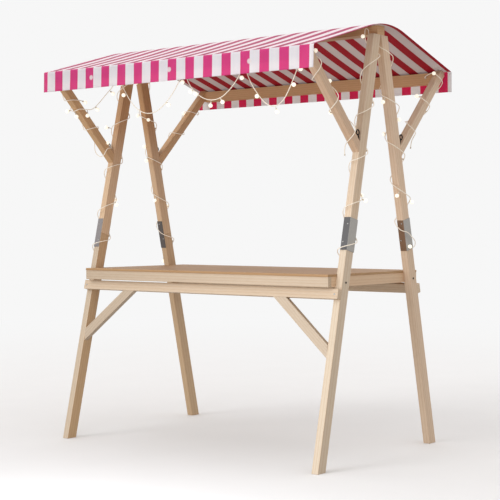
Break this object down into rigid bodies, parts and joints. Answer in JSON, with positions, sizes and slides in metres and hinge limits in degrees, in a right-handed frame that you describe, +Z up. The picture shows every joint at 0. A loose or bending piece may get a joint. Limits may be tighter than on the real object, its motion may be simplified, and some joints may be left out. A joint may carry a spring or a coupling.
{
  "type": "wooden market stall",
  "caption": "Open market stall: splayed timber legs, a table box between them and a striped cloth roof over a ridge beam and two eaves rails.",
  "frame": {"origin": "on the ground, under the middle of the ridge beam", "axes": "+X along the ridge, -Y towards the customers, +Z up"},
  "size_m": [1.792, 1.3326, 2.1881],
  "materials": {
    "pine": "sawn, unpainted",
    "table_board": "plain board",
    "zinc_steel": "zinc coated",
    "dark_iron": "blackened",
    "striped_cloth": "pink and white stripes",
    "light_cord": "cream cord"
  },
  "bodies": {
    "root": {"back_apron": "pine", "back_beam": "pine", "back_eaves_rail": "pine", "back_left_brace": "pine", "back_left_brace_lights": "light_cord", "back_left_eye_screw": "dark_iron", "back_left_lower_leg": "pine", "back_left_splice": "zinc_steel", "back_left_upper_leg": "pine", "back_right_brace": "pine", "back_right_brace_lights": "light_cord", "back_right_eye_screw": "dark_iron", "back_right_lower_leg": "pine", "back_right_splice": "zinc_steel", "back_right_upper_leg": "pine", "canopy": "striped_cloth", "front_apron": "pine", "front_beam": "pine", "front_eaves_rail": "pine", "front_left_brace": "pine", "front_left_brace_lights": "light_cord", "front_left_eye_screw": "dark_iron", "front_left_lower_leg": "pine", "front_left_splice": "zinc_steel", "front_left_upper_leg": "pine", "front_lights": "light_cord", "front_rail_nails": "dark_iron", "front_right_brace": "pine", "front_right_eye_screw": "dark_iron", "front_right_lower_leg": "pine", "front_right_splice": "zinc_steel", "front_right_upper_leg": "pine", "left_end_rail": "pine", "left_knee_brace": "pine", "left_leg_lights": "light_cord", "ridge_beam": "pine", "right_end_rail": "pine", "right_knee_brace": "pine", "right_leg_lights": "light_cord", "table_top": "table_board"}
  },
  "joints": []
}
